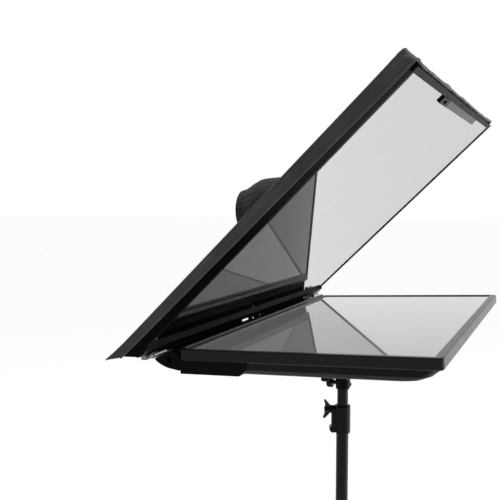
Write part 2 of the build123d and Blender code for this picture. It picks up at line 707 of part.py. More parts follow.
def collar(outer, grip, clear, low, high, split):
    """A clamping collar: the lower part grips one tube, the top closes on the next one."""
    body = rod(outer, low, high)
    body = fillet(body.edges(), 1.6)
    spine = block(outer - 4, outer + 6.5, -7.5, 7.5, low + 2, high - 10)
    spine = fillet(spine.edges().filter_by(Axis.Z), 2.0)
    boss = Pos(outer + 1.5, 0, high - 8) * Rot(0, 90, 0) * Cylinder(7.6, 10)
    lug = Pos(outer + 3.5, 0, low + 8) * Rot(90, 0, 0) * Cylinder(7.0, 15)
    part = body + spine + boss + lug
    part -= rod(grip, low - 1, split)
    part -= rod(clear, split - 1, high + 1)
    part -= Pos(outer, 0, high - 8) * Rot(0, 90, 0) * Cylinder(4.0 + RUNNING, 26)
    return part


def collar_place():
    return Rot(0, 0, COLLAR_AZIMUTH)


def upper_collar():
    body = collar(
        16.0, MID_TUBE, UPPER_TUBE + CLEAR, UPPER_COLLAR_BOTTOM, UPPER_COLLAR_TOP,
        UPPER_COLLAR_BOTTOM + 36.0,
    )
    return collar_place() * body


def upper_collar_knob():
    place = Pos(UPPER_TUBE + CLEAR, 0, UPPER_COLLAR_TOP - 8) * Rot(0, 90, 0)
    return collar_place() * place * Rot(0, 0, 152) * wing_knob(4.0, 11.6, 24.0)


LOWER_COLLAR_BOTTOM = BASE_TUBE_TOP - 40.0
LOWER_COLLAR_TOP = BASE_TUBE_TOP + 22.0


def lower_collar():
    body = collar(
        19.0, BASE_TUBE, MID_TUBE + CLEAR, LOWER_COLLAR_BOTTOM, LOWER_COLLAR_TOP, BASE_TUBE_TOP,
    )
    return collar_place() * body


def lower_collar_knob():
    place = Pos(MID_TUBE + CLEAR, 0, LOWER_COLLAR_TOP - 8) * Rot(0, 90, 0)
    return collar_place() * place * wing_knob(4.0, 13.0, 27.0)


# ---- the folding legs ----------------------------------------------------------------------------
LUG_HALF = 6.2
EAR_IN = 6.6
EAR_OUT = 11.4
PIVOT_PIN = 3.0
STRIP_IN = LEG_RADIUS + 0.7
STRIP_THICKNESS = 3.0


def around(shape):
    """Three copies of a shape that lies along +X, one at each leg."""
    return [Rot(0, 0, azimuth) * shape for azimuth in LEG_AZIMUTHS]


def ear_pair(y0, y1, z):
    ears = Part()
    for low, high in ((-y1, -y0), (y0, y1)):
        ears += block(18, LEG_PIVOT_RADIUS, low, high, z - 7, z + 7)
        ears += Pos(LEG_PIVOT_RADIUS, 0, z) * along_y(7.0, low, high)
    return ears


def leg_hub():
    """The sliding spider with a pair of ears and a pin for each leg."""
    z = HUB_PIVOT_Z
    ring = fillet(rod(26.0, z - 9, z + 22).edges(), 2.0)
    pin = Pos(LEG_PIVOT_RADIUS, 0, z) * along_y(PIVOT_PIN, -EAR_OUT - 1.5, EAR_OUT + 1.5)
    part = Part() + ring + around(ear_pair(EAR_IN, EAR_OUT, z) + pin)
    part -= rod(BASE_TUBE + CLEAR, z - 40, z + 40)
    bore = Pos(0, 20, z + 8) * Rot(90, 0, 0) * Cylinder(4.0 + RUNNING, 30)
    return part - bore


def hub_knob():
    place = Pos(0, BASE_TUBE + CLEAR + 0.1, HUB_PIVOT_Z + 8) * Rot(-90, 0, 0)
    return place * knob(4.0, 13.0, 14.0, 15.0, 3)


def base_ring():
    """The fixed spider at the column's foot that the braces turn on."""
    z = RING_PIVOT_Z
    ring = fillet(rod(24.0, z - 9, z + 9).edges(), 2.0)
    lug = block(18, LEG_PIVOT_RADIUS, -STRIP_IN + CLEAR, STRIP_IN - CLEAR, z - 7, z + 7)
    lug += Pos(LEG_PIVOT_RADIUS, 0, z) * along_y(7.0, -STRIP_IN + CLEAR, STRIP_IN - CLEAR)
    reach = STRIP_IN + STRIP_THICKNESS + CLEAR
    lug += Pos(LEG_PIVOT_RADIUS, 0, z) * along_y(PIVOT_PIN, -reach - 1.8, reach + 1.8)
    for side in (-1, 1):
        head = along_y(4.6, reach, reach + 2.4) if side > 0 else along_y(4.6, -reach - 2.4, -reach)
        lug += Pos(LEG_PIVOT_RADIUS, 0, z) * head
    return Part() + ring + around(lug) - rod(BASE_TUBE, z - 20, z + 20)


def leg_axis():
    return Pos(LEG_PIVOT_RADIUS, 0, HUB_PIVOT_Z) * Rot(0, -LEG_ANGLE, 0)


def leg(azimuth):
    """A tube from just below its pivot to the foot, with a flat plug in its top."""
    body = tube(LEG_RADIUS, 1.5, -LEG_LENGTH + 6, -15)
    body += block(-7, 7, -LUG_HALF, LUG_HALF, -20, 0) + along_y(7.0, -LUG_HALF, LUG_HALF)
    body += rod(LEG_RADIUS - 1.2, -28, -15)
    body -= along_y(PIVOT_PIN + RUNNING, -20, 20)
    return Rot(0, 0, azimuth) * leg_axis() * body


def foot(azimuth):
    """A rubber cap with a flat sole."""
    cap = Pos(0, 0, -LEG_LENGTH) * Sphere(FOOT_RADIUS) + rod(FOOT_RADIUS, -LEG_LENGTH, -LEG_LENGTH + 46)
    cap -= rod(LEG_RADIUS, -LEG_LENGTH + 6, -LEG_LENGTH + 60)
    placed = leg_axis() * cap
    placed -= block(300, 900, -60, 60, -60, 0)
    return Rot(0, 0, azimuth) * placed


def brace(azimuth):
    """Two strips that flank the leg, tied by a spacer, with rivet heads where they meet the leg."""
    part = Part()
    for side in (-1, 1):
        y0, y1 = sorted((side * STRIP_IN, side * (STRIP_IN + STRIP_THICKNESS)))
        strip = block(-7.5, 7.5, y0, y1, 0, BRACE_LENGTH)
        strip += along_y(7.5, y0, y1) + Pos(0, 0, BRACE_LENGTH) * along_y(7.5, y0, y1)
        strip -= along_y(PIVOT_PIN + RUNNING, -30, 30)
        y2, y3 = sorted((side * (STRIP_IN + STRIP_THICKNESS), side * (STRIP_IN + STRIP_THICKNESS + 2.2)))
        strip += Pos(0, 0, BRACE_LENGTH) * along_y(4.6, y2, y3)
        part += strip
    part += Pos(0, 0, BRACE_LENGTH / 2) * along_y(4.0, -STRIP_IN, STRIP_IN)
    place = Pos(LEG_PIVOT_RADIUS, 0, RING_PIVOT_Z) * Rot(0, LEG_ANGLE, 0)
    return Rot(0, 0, azimuth) * place * part


# ---- assembly ------------------------------------------------------------------------------------
def head_nodes():
    nodes = {
        "front_bezel": front_bezel(),
        "lcd_glass": lcd_glass(),
        "backlight_unit": backlight_unit(),
        "rear_shell": rear_shell(),
        "power_board": power_board(),
        "video_board": video_board(),
        "power_inlet": power_inlet(),
        "video_sockets": video_sockets(),
        "casing_screws": casing_screws(),
        "rubber_bumpers": rubber_bumpers(),
        "power_button": button(0),
        "menu_button": button(1),
        "input_button": button(2),
        "hinge_rail": hinge_rail(),
        "side_bracket_left": side_bracket(-1),
        "side_bracket_right": side_bracket(1),
        "bracket_bolts": bracket_bolts(),
        "hinge_leaves_fixed": hinge_leaves_fixed(),
        "hinge_pins": hinge_pins(),
        "latch_block": latch_block(),
        "latch_lever": latch_lever(),
        "hinge_leaves_moving": hinge_leaves_moving(),
        "light_seal": light_seal(),
        "lens_sleeve": lens_sleeve(),
        "sleeve_elastic": sleeve_elastic(),
        "hood_shroud": hood_shroud(),
        "head_plate": head_plate(),
        "tilt_clevis": tilt_clevis(),
    }
    return {name: in_head(shape) for name, shape in nodes.items()}


def frame_nodes():
    nodes = {
        "frame_bottom_bar": bottom_bar(),
        "frame_top_bar": top_bar(),
        "frame_side_left": side_bar(-1),
        "frame_side_right": side_bar(1),
        "corner_keys": corner_keys(),
        "beam_splitter_glass": beam_splitter_glass(),
        "glass_gasket": glass_gasket(),
        "glass_clip": glass_clip(),
        "label_strip": label_strip(),
    }
    return {name: in_frame(shape) for name, shape in nodes.items()}


def stand_nodes():
    nodes = {
        "frame_screws": frame_screws(),
        "stand_socket": stand_socket(),
        "tilt_lever": tilt_lever(),
        "socket_knob": socket_knob(),
        "upper_tube": upper_tube(),
        "mid_tube": mid_tube(),
        "upper_collar": upper_collar(),
        "upper_collar_knob": upper_collar_knob(),
        "base_column": base_column(),
        "lower_collar": lower_collar(),
        "lower_collar_knob": lower_collar_knob(),
        "base_ring": base_ring(),
        "leg_hub": leg_hub(),
        "hub_knob": hub_knob(),
    }
    for number, azimuth in enumerate(LEG_AZIMUTHS, start=1):
        nodes[f"leg_{number}"] = leg(azimuth)
        nodes[f"foot_{number}"] = foot(azimuth)
        nodes[f"brace_{number}"] = brace(azimuth)
    return nodes


# Each fastener node is cut out of the pieces that it passes through.
FASTENED = {
    "casing_screws": ("rear_shell", "backlight_unit"),
    "bracket_bolts": ("side_bracket_left", "side_bracket_right", "rear_shell", "head_plate"),
    "frame_screws": (
        "frame_bottom_bar", "frame_top_bar", "frame_side_left", "frame_side_right",
        "hinge_leaves_moving",
    ),
}


def assembly():
    nodes = {**head_nodes(), **frame_nodes(), **stand_nodes()}
    for fastener, hosts in FASTENED.items():
        for host in hosts:
            nodes[host] = nodes[host] - nodes[fastener]
    box = Compound([shape for shape in nodes.values()]).bounding_box()
    centre = box.center()
    shift = Pos(-centre.X, -centre.Y, -box.min.Z)
    return {name: shift * shape for name, shape in nodes.items()}, shift


NODES, SHIFT = assembly()
os.makedirs("parts", exist_ok=True)
for name, shape in NODES.items():
    solids = shape.solids()
    export_step(solids[0] if len(solids) == 1 else Compound(solids), f"parts/{name}.step")
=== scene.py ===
import math

import bpy
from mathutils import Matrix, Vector, noise


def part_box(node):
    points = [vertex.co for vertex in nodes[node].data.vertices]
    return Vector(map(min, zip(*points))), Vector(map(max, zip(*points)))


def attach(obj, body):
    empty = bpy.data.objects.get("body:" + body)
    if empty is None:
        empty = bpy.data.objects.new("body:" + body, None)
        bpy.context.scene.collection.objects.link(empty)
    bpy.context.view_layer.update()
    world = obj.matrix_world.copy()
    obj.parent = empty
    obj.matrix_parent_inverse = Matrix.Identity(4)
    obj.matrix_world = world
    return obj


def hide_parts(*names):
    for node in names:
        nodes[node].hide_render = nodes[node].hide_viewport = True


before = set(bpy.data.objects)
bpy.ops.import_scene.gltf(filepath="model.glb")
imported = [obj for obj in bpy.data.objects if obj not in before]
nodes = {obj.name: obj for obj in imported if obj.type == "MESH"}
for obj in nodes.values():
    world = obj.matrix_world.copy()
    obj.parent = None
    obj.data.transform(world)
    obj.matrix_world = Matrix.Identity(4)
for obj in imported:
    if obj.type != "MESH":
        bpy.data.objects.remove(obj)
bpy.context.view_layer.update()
print("frame loaded:", len(nodes), "nodes")


# axes of the glass frame: across, up the slope, back towards the camera
def broadNormal(node):
    return max(nodes[node].data.polygons, key=lambda p: p.area).normal.copy()


across = Vector((1, 0, 0))
back = broadNormal("beam_splitter_glass")
back = back if back.y > 0 else -back
up = Vector((0, -back.z, back.y))
deck = broadNormal("lcd_glass")
deck = deck if deck.z > 0 else -deck
aim = deck.cross(across)                      # the lens looks along this


def spans(node):
    points = [v.co for v in nodes[node].data.vertices]
    reaches = [[p.dot(a) for p in points] for a in (across, up, back)]
    return [(min(reach), max(reach)) for reach in reaches]


def place(x, s, n):
    return across * x + up * s + back * n


# a shader socket that can be added, subtracted, multiplied and compared
class Wire:
    def __init__(self, finish, out):
        self.finish = finish
        self.out = out

    def maths(self, operation, first, second=0.0):
        made = self.finish.node("Math", {"operation": operation}, {0: first, 1: second})
        return made.wire(0)

    def __add__(self, other):
        return self.maths("ADD", self, other)

    def __sub__(self, other):
        return self.maths("SUBTRACT", self, other)

    def __rsub__(self, other):
        return self.maths("SUBTRACT", other, self)

    def __mul__(self, other):
        return self.maths("MULTIPLY", self, other)

    def __gt__(self, other):
        return self.maths("GREATER_THAN", self, other)

    __radd__ = __add__
    __rmul__ = __mul__


class Made:
    def __init__(self, finish, shader):
        self.finish = finish
        self.shader = shader

    def wire(self, which):
        return Wire(self.finish, self.shader.outputs[which])


class Finish:
    def __init__(self, tree):
        self.tree = tree
        tree.nodes.clear()

    def node(self, kind, settings=None, inputs=None):
        shader = self.tree.nodes.new("ShaderNode" + kind)
        for key, value in (settings or {}).items():
            setattr(shader, key, value)
        for key, value in (inputs or {}).items():
            socket = shader.inputs[key]
            if isinstance(value, Wire):
                self.tree.links.new(value.out, socket)
            elif isinstance(value, tuple) and socket.type == "RGBA":
                socket.default_value = (*value, 1)
            else:
                socket.default_value = value
        return Made(self, shader)

    def noise(self, scale, detail=3.0, stretch=(1, 1, 1)):
        spot = self.node("TexCoord").wire("Object")
        spot = self.node("Mapping", inputs={"Vector": spot, "Scale": stretch}).wire(0)
        inputs = {"Vector": spot, "Scale": scale, "Detail": detail}
        return self.node("TexNoise", inputs=inputs).wire(0)

    # how far the surface lies along a direction
    def along(self, direction):
        spot = self.node("TexCoord").wire("Object")
        inputs = {0: spot, 1: tuple(direction)}
        return self.node("VectorMath", {"operation": "DOT_PRODUCT"}, inputs).wire("Value")

    def sine(self, value):
        return self.node("Math", {"operation": "SINE"}, {0: value}).wire(0)

    def ease(self, value, start, end, low=0.0, high=1.0):
        return self.node("MapRange", {"interpolation_type": "SMOOTHSTEP"}, {
            "Value": value, "From Min": start, "From Max": end, "To Min": low, "To Max": high,
        }).wire(0)

    def bump(self, height, depth, strength=1.0, under=None):
        inputs = {"Height": height, "Distance": depth, "Strength": strength}
        if under:
            inputs["Normal"] = under
        return self.node("Bump", inputs=inputs).wire(0)

    def blend(self, factor, first, second):
        colours = {0: factor, 6: first, 7: second}     # a mix's colour sockets are 6 and 7, out 2
        return self.node("Mix", {"data_type": "RGBA"}, colours).wire(2)

    def surface(self, inputs):
        shader = self.node("BsdfPrincipled", inputs=inputs).wire(0)
        self.node("OutputMaterial", inputs={"Surface": shader})


def newFinish(name):
    material = bpy.data.materials.new(name)
    material.use_nodes = True
    return material, Finish(material.node_tree)


def shade(colour, by):
    return tuple(c * by for c in colour)


# plain finishes: grain is how fine, depth how deep in metres, blotch how uneven the colour is,
# shine how glossy, and stretch draws the grain out along a bar
plainFinishes = {
    "bezel_plastic": dict(
        colour=(0.022, 0.022, 0.024), rough=0.30, grain=900, depth=0.00004, blotch=0.10,
    ),
    "shell_plastic": dict(
        colour=(0.006, 0.006, 0.007), rough=0.46, grain=700, depth=0.00008, blotch=0.15,
        shine=0.16,
    ),
    "light_guide": dict(
        colour=(0.75, 0.75, 0.74), rough=0.40, grain=200, depth=0.00002, blotch=0.05,
    ),
    "plated_metal": dict(
        colour=(0.80, 0.80, 0.79), rough=0.16, metal=1, grain=500, depth=0.00002,
        blotch=0.08,
    ),
    "black_steel": dict(
        colour=(0.010, 0.010, 0.011), rough=0.30, grain=600, depth=0.00003, blotch=0.2,
        shine=0.1,
    ),
    "rubber": dict(
        colour=(0.018, 0.018, 0.018), rough=0.72, grain=450, depth=0.00008, blotch=0.2,
    ),
    "button_plastic": dict(
        colour=(0.060, 0.060, 0.062), rough=0.38, grain=600, depth=0.00003, blotch=0.1,
    ),
    "black_aluminium": dict(
        colour=(0.010, 0.010, 0.011), rough=0.55, grain=1100, depth=0.00003, blotch=0.15,
        shine=0.12,
    ),
    "bracket_paint": dict(
        colour=(0.005, 0.005, 0.006), rough=0.38, grain=800, depth=0.00009, blotch=0.12,
        shine=0.18,
    ),
    "bare_aluminium": dict(
        colour=(0.62, 0.62, 0.63), rough=0.30, metal=1, grain=300, depth=0.00003,
        blotch=0.1, stretch=(0.02, 1, 1),
    ),
    "foam": dict(
        colour=(0.020, 0.020, 0.021), rough=0.90, grain=900, depth=0.00030, blotch=0.3,
    ),
    "grey_foil": dict(
        colour=(0.105, 0.105, 0.105), rough=0.45, grain=300, depth=0.00002, blotch=0.08,
    ),
    "knob_plastic": dict(
        colour=(0.009, 0.009, 0.010), rough=0.36, grain=700, depth=0.00006, blotch=0.12,
        shine=0.35,
    ),
    "collar_plastic": dict(
        colour=(0.008, 0.008, 0.009), rough=0.30, grain=800, depth=0.00007, blotch=0.12,
        shine=0.4,
    ),
    "stand_tube": dict(
        colour=(0.006, 0.006, 0.007), rough=0.22, shine=0.5, grain=600, depth=0.00004,
        blotch=0.2, stretch=(1, 1, 0.05),
    ),
}
plainWear = dict(scale=18.0, detail=5.0, swing=0.06, grainDetail=2.0)     # slow change of gloss


def plainFinish(name, look):
    material, finish = newFinish(name)
    stretch = look.get("stretch", (1, 1, 1))
    grain = finish.noise(look["grain"], plainWear["grainDetail"], stretch)
    wear = finish.noise(plainWear["scale"], plainWear["detail"])
    darker, paler = (shade(look["colour"], 1 + k * look["blotch"]) for k in (-1, 1))
    finish.surface({
        "Base Color": finish.blend(wear, darker, paler),
        "Roughness": look["rough"] - plainWear["swing"] + 2 * plainWear["swing"] * wear,
        "Metallic": look.get("metal", 0.0),
        "Specular IOR Level": look.get("shine", 0.5),
        "Normal": finish.bump(grain, look["depth"]),
    })
    return material


displayLook = dict(
    colour=(0.006, 0.006, 0.007), rough=0.03, ior=1.5, film=0.57, glow=0.118,
    dust=0.015, dustScale=35.0, dustDetail=6.0, dustPale=1.4,
)


def displayFinish():
    material, finish = newFinish("lcd_glass")
    dust = finish.noise(displayLook["dustScale"], displayLook["dustDetail"])
    dusty = shade(displayLook["colour"], displayLook["dustPale"])
    finish.surface({
        "Base Color": finish.blend(dust, displayLook["colour"], dusty),
        "Roughness": displayLook["rough"] + displayLook["dust"] * dust,
        "IOR": displayLook["ior"],
        "Coat Weight": displayLook["film"],
        "Emission Color": (1.0, 1.0, 1.0),
        "Emission Strength": displayLook["glow"],
    })
    return material


paneLook = dict(
    colour=(0.985, 0.990, 0.990), rough=0.012, front=0.68, behind=0.05,
    smearScale=9.0, smearDetail=4.0, smearRough=0.008, smearDark=0.985,
)


# about two thirds of the light comes back from the coated face, and most of the rest passes through
def paneFinish():
    material, finish = newFinish("mirror_glass")
    low, high = spans("beam_splitter_glass")[2]
    rear = finish.along(back) > (low + high) / 2
    smear = finish.noise(paneLook["smearScale"], paneLook["smearDetail"])
    smeared = shade(paneLook["colour"], paneLook["smearDark"])
    finish.surface({
        "Base Color": finish.blend(smear, smeared, paneLook["colour"]),
        "Metallic": 1.0,
        "Roughness": paneLook["rough"] + paneLook["smearRough"] * smear,
        "Alpha": paneLook["front"] - (paneLook["front"] - paneLook["behind"]) * rear,
    })
    material.surface_render_method = "DITHERED"
    return material


fabricLook = dict(
    colour=(0.165, 0.168, 0.176), lining=(0.022, 0.022, 0.023), rough=0.70, sheen=0.30,
    sheenRough=0.5, threads=3000.0, pulls=(1.0, 1.0, 0.6),
    weaveDepth=0.00012, weaveStrength=0.6, threadShare=0.3,
    fuzzScale=420.0, fuzzDetail=3.0, fuzzRough=0.1,
    patchScale=14.0, patchDetail=4.0, patchSwing=0.40,
    rumpleScale=30.0, rumpleDetail=3.0, rumpleDepth=0.0060, rumpleStrength=0.7,
    weltPaintedLight=1.1, sleeveDark=0.38, sleeveSheen=0.1,
)


# plain weave of fine threads, fuzz on top of it and soft rumples under it
def fabricFinish(name, colour, sheen):
    look = fabricLook
    material, finish = newFinish(name)
    threads = 0.0
    for axis, pull in zip((across, up, back), look["pulls"]):
        threads = finish.sine(finish.along(axis) * look["threads"]) * pull + threads
    fuzz = finish.noise(look["fuzzScale"], look["fuzzDetail"])
    patches = finish.noise(look["patchScale"], look["patchDetail"])
    rumples = finish.noise(look["rumpleScale"], look["rumpleDetail"])
    soft = finish.bump(rumples, look["rumpleDepth"], look["rumpleStrength"])
    cloth = threads * look["threadShare"] + fuzz
    weave = finish.bump(cloth, look["weaveDepth"], look["weaveStrength"], soft)
    darker, paler = (shade(colour, 1 + k * look["patchSwing"]) for k in (-1, 1))
    finish.surface({
        "Base Color": finish.blend(patches, darker, paler),
        "Roughness": look["rough"] + look["fuzzRough"] * fuzz,
        "Sheen Weight": sheen,
        "Sheen Roughness": look["sheenRough"],
        "Normal": weave,
    })
    return material


elasticLook = dict(
    colour=(0.030, 0.030, 0.031), ribs=2600.0, ribShare=0.5, swing=0.3,
    rough=0.8, depth=0.0003, fuzzScale=300.0,
)


def elasticFinish():
    material, finish = newFinish("elastic")
    ribs = finish.sine(finish.along(aim) * elasticLook["ribs"])
    fuzz = finish.noise(elasticLook["fuzzScale"])
    darker, paler = (shade(elasticLook["colour"], 1 + k * elasticLook["swing"]) for k in (-1, 1))
    finish.surface({
        "Base Color": finish.blend(fuzz, darker, paler),
        "Roughness": elasticLook["rough"],
        "Normal": finish.bump(ribs * elasticLook["ribShare"] + fuzz, elasticLook["depth"]),
    })
    return material


boardLook = dict(
    mask=(0.018, 0.095, 0.040), track=(0.030, 0.150, 0.065), scale=260.0, edge=0.45,
    rough=0.35, trackRough=0.1, depth=0.00004,
)


def boardFinish():
    material, finish = newFinish("circuit_board")
    spot = finish.node("TexCoord").wire("Object")
    cells = {"Vector": spot, "Scale": boardLook["scale"]}
    tracks = finish.node("TexVoronoi", {"distance": "MANHATTAN"}, cells).wire(0)
    raised = tracks > boardLook["edge"]
    finish.surface({
        "Base Color": finish.blend(raised, boardLook["mask"], boardLook["track"]),
        "Roughness": boardLook["rough"] + boardLook["trackRough"] * raised,
        "Normal": finish.bump(raised, boardLook["depth"]),
    })
    return material


barLook = dict(
    foot=(0.005, 0.005, 0.006), head=(0.115, 0.115, 0.118), start=0.35, end=0.95, shine=0.12,
    rough=0.50, wearScale=40.0, wearRough=0.08, grain=1100.0, grainDetail=2.0, depth=0.00003,
)


# painted light: the side bars' colour is painted paler towards the top, standing in for the light
# that falls on their upper part, not a change in their coat
def barFinish():
    material, finish = newFinish("side_bar_painted_light")
    low, high = spans("frame_side_left")[1]
    start, end = (low + (high - low) * barLook[k] for k in ("start", "end"))
    # how much painted light each point gets, rising towards the top
    paintedLightRise = finish.ease(finish.along(up), start, end)
    wear = finish.noise(barLook["wearScale"])
    grain = finish.noise(barLook["grain"], barLook["grainDetail"])
    finish.surface({
        "Base Color": finish.blend(paintedLightRise, barLook["foot"], barLook["head"]),
        "Roughness": barLook["rough"] + barLook["wearRough"] * wear,
        "Specular IOR Level": barLook["shine"],
        "Normal": finish.bump(grain, barLook["depth"]),
    })
    return material


finishes = {name: plainFinish(name, look) for name, look in plainFinishes.items()}
finishes["lcd_glass"] = displayFinish()
finishes["mirror_glass"] = paneFinish()
clothColour, clothSheen = fabricLook["colour"], fabricLook["sheen"]
finishes["hood_fabric"] = fabricFinish("hood_fabric", clothColour, clothSheen)
finishes["elastic"] = elasticFinish()
finishes["circuit_board"] = boardFinish()
# painted light: the welt, piping and seam are the band's cloth painted a tenth paler, standing in
# for the light that catches the cord along the top
weltLitColour = shade(clothColour, fabricLook["weltPaintedLight"])
weltFinish = fabricFinish("hood_welt", weltLitColour, clothSheen)
liningFinish = fabricFinish("hood_lining", fabricLook["lining"], 0.0)
sleeveColour = shade(clothColour, fabricLook["sleeveDark"])
sleeveFinish = fabricFinish("sleeve_fabric", sleeveColour, fabricLook["sleeveSheen"])

for node in nodes.values():
    slotName = node.data.materials[0].name.split(".")[0]
    if slotName not in finishes:
        print("no finish for", node.name, slotName)
        continue
    node.data.materials.clear()
    node.data.materials.append(finishes[slotName])
# the side bars get the finish with painted light towards the top
sideBarPaintedLight = barFinish()
for name in ("frame_side_left", "frame_side_right"):
    nodes[name].data.materials[0] = sideBarPaintedLight
print("finishes made:", len(finishes))

# where the hood's cloth lies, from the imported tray; each ripple has a size and a seed
hoodX, hoodS, hoodN = spans("hood_shroud")
hood = {
    "halfWidth": hoodX[1],
    "top": hoodS[1],
    "backN": hoodN[1],
    "cornerRadius": 0.006,
    "cloth": 0.0007,
    "hemArch": 0.12,                           # how far round its curve the band starts at the hem
    "topBulge": 0.0018,
    "topEven": 0.45,                           # share of the bulge that is even from hem to rim
    "topWave": 0.0010,
    "topWaveRipple": (0.05, 2.0),
    "topStretch": 0.4,
    "topRipple": (0.016, 5.0),
    "sideBulge": 0.0016,
    "sideStretch": 0.7,
    "sideRipple": (0.022, 1.0),
    "wrinkle": 0.0032,
    "cornerLift": 0.0035,
    "cornerReach": 0.034,
    "cornerFade": 0.45,
    "pleatPitch": 0.011,
    "pleatLean": 9.0,
    "pleatUneven": 1.2,
    "pleatRipple": (0.009, 4.0),
    "pleatTop": 0.4,
    "pleatSide": 0.6,
    "pleatDepth": 0.0022,
    "footHook": 0.010,
    "footReach": 0.016,
    "hookHem": 0.2,                            # share of the hook at the hem
    "hookOut": 0.35,
    "hookBack": 0.2,
    "sideSteps": 150,
    "topSteps": 200,
    "cornerSteps": 6,
    "rows": 22,
    "weltRadius": 0.0021,
    "pipingRadius": 0.0014,
    "longCut": 1.03,                           # cut longer and wider than the frame
    "wideCut": 1.06,
}
trayPoints = [v.co for v in nodes["hood_shroud"].data.vertices]
middleS = (hoodS[0] + hoodS[1]) / 2
footSeamN = min(p.dot(back) for p in trayPoints if p.dot(up) < middleS)
topSeamN = min(p.dot(back) for p in trayPoints if p.dot(up) > middleS)
baseS, baseN = hoodS[0], hoodN[1]
baseSlope = -deck.dot(back) / deck.dot(up)     # the base is level, so it falls as it runs back


def footAt(n):
    return baseS + (n - baseN) * baseSlope


def seamAt(s):
    k = min(1.0, max(0.0, (s - hoodS[0]) / (hoodS[1] - hoodS[0])))
    return footSeamN + (topSeamN - footSeamN) * k


def ripple(x, s, n, size, seed):
    return noise.noise(Vector((x, s, n)) / size + Vector((seed, 3 * seed, -seed)))


# a mesh from rows of points
def gridMesh(name, rows, closeRows=False, closeColumns=False):
    width = len(rows[0])
    verts = [p for row in rows for p in row]
    faces = []
    lastRow = len(rows) if closeRows else len(rows) - 1
    lastColumn = width if closeColumns else width - 1
    for i in range(lastRow):
        here, onward = i * width, (i + 1) % len(rows) * width
        for j in range(lastColumn):
            beside = (j + 1) % width
            faces.append((here + j, here + beside, onward + beside, onward + j))
    mesh = bpy.data.meshes.new(name)
    mesh.from_pydata(verts, [], faces)
    mesh.update()
    mesh.shade_smooth()
    piece = bpy.data.objects.new(name, mesh)
    bpy.context.collection.objects.link(piece)
    return piece


def thicken(piece, thickness, offset):
    solid = piece.modifiers.new("thickness", "SOLIDIFY")
    solid.thickness = thickness
    solid.offset = offset
    return piece


def cordAlong(name, points, radius, closed=False, sides=10):
    rows = []
    turns = [2 * math.pi * k / sides for k in range(sides)]
    for i, p in enumerate(points):
        before = points[i - 1] if i or closed else p
        after = points[(i + 1) % len(points)] if i + 1 < len(points) or closed else p
        run = (after - before).normalized()
        nearAim = abs(run.dot(aim)) > 0.9      # then aim can't give the cord's side
        side = run.cross(across if nearAim else aim).normalized()
        over = side.cross(run)
        rows.append([p + radius * (math.cos(t) * side + math.sin(t) * over) for t in turns])
    return gridMesh(name, rows, closeRows=closed, closeColumns=True)


def onFrame(piece, material):
    piece.data.materials.append(material)
    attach(piece, "glass_frame")
    return piece


# the band wraps the frame's left side, top and right side; a step of its path is the kind of
# step, the fraction along it (the angle at a corner), its x and the way out
def bandPath():
    radius, half = hood["cornerRadius"], hood["halfWidth"]
    sideSteps, topSteps, cornerSteps = hood["sideSteps"], hood["topSteps"], hood["cornerSteps"]
    path = [("side", k / sideSteps, -half, (-1.0, 0.0)) for k in range(sideSteps)]
    for k in range(cornerSteps + 1):
        turn = math.pi / 2 * k / cornerSteps
        x = -half + radius * (1 - math.cos(turn))
        path.append(("corner", turn, x, (-math.cos(turn), math.sin(turn))))
    for k in range(1, topSteps):
        x = -half + radius + (2 * half - 2 * radius) * k / topSteps
        path.append(("top", k / topSteps, x, (0.0, 1.0)))
    mirrored = [(kind, f, -x, (-ox, oy)) for kind, f, x, (ox, oy) in path if kind != "top"]
    return path + mirrored[::-1]


def bandPoint(step, v):
    kind, fraction, x, outward = step
    radius, top = hood["cornerRadius"], hood["top"]
    if kind == "side":
        n = seamAt(middleS)
        for _ in range(3):                     # height and depth depend on each other
            s = footAt(n) + (top - radius - footAt(n)) * fraction
            n = seamAt(s) + (hood["backN"] - seamAt(s)) * v
    else:
        s = top - radius * (1 - math.sin(fraction)) if kind == "corner" else top
        n = seamAt(s) + (hood["backN"] - seamAt(s)) * v
    faceUp = outward[1] > 0.5
    arch = math.sin(math.pi * min(1.0, hood["hemArch"] + (1 - hood["hemArch"]) * v))
    toCorner = math.hypot(hood["halfWidth"] - abs(x), top - s)
    lift = math.exp(-(toCorner / hood["cornerReach"]) ** 2)
    if faceUp:
        push = hood["topBulge"] * (hood["topEven"] + (1 - hood["topEven"]) * arch)
        push += hood["topWave"] * ripple(x, s, n, *hood["topWaveRipple"])
        folds = ripple(x, s, n * hood["topStretch"], *hood["topRipple"])
    else:
        push = hood["sideBulge"] * arch
        folds = ripple(x, s * hood["sideStretch"], n, *hood["sideRipple"])
    push += hood["wrinkle"] * folds * arch
    lean = hood["pleatLean"] * n / hood["backN"]
    pleat = 0.5 + 0.5 * math.sin(toCorner * 2 * math.pi / hood["pleatPitch"] + lean)
    pleat += hood["pleatUneven"] * ripple(x, s, n, *hood["pleatRipple"])
    topPleat, sidePleat = (1 - hood[k] + hood[k] * pleat for k in ("pleatTop", "pleatSide"))
    raised = hood["cornerLift"] * lift * (1.0 - hood["cornerFade"] * v)
    push += raised * topPleat * outward[1]
    push += hood["pleatDepth"] * lift * sidePleat * abs(outward[0])
    hook = 0.0
    if not faceUp:
        nearFoot = math.exp(-(s - footAt(n)) / hood["footReach"])
        hook = hood["footHook"] * nearFoot * (hood["hookHem"] + (1 - hood["hookHem"]) * v)
    out = outward[0] * (push + hood["hookOut"] * hook)
    return place(x + out, s + outward[1] * push - hook, n + hood["hookBack"] * hook)


bandGrid = []
for step in bandPath():
    bandGrid.append([bandPoint(step, v / hood["rows"]) for v in range(hood["rows"] + 1)])
hoodBand = thicken(gridMesh("hood_band", bandGrid), hood["cloth"], 0.0)
onFrame(hoodBand, finishes["hood_fabric"])
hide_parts("hood_shroud")
bandLength = 2 * (hood["top"] - baseS) + 2 * hood["halfWidth"]
bandWidth = hood["backN"] - (footSeamN + topSeamN) / 2

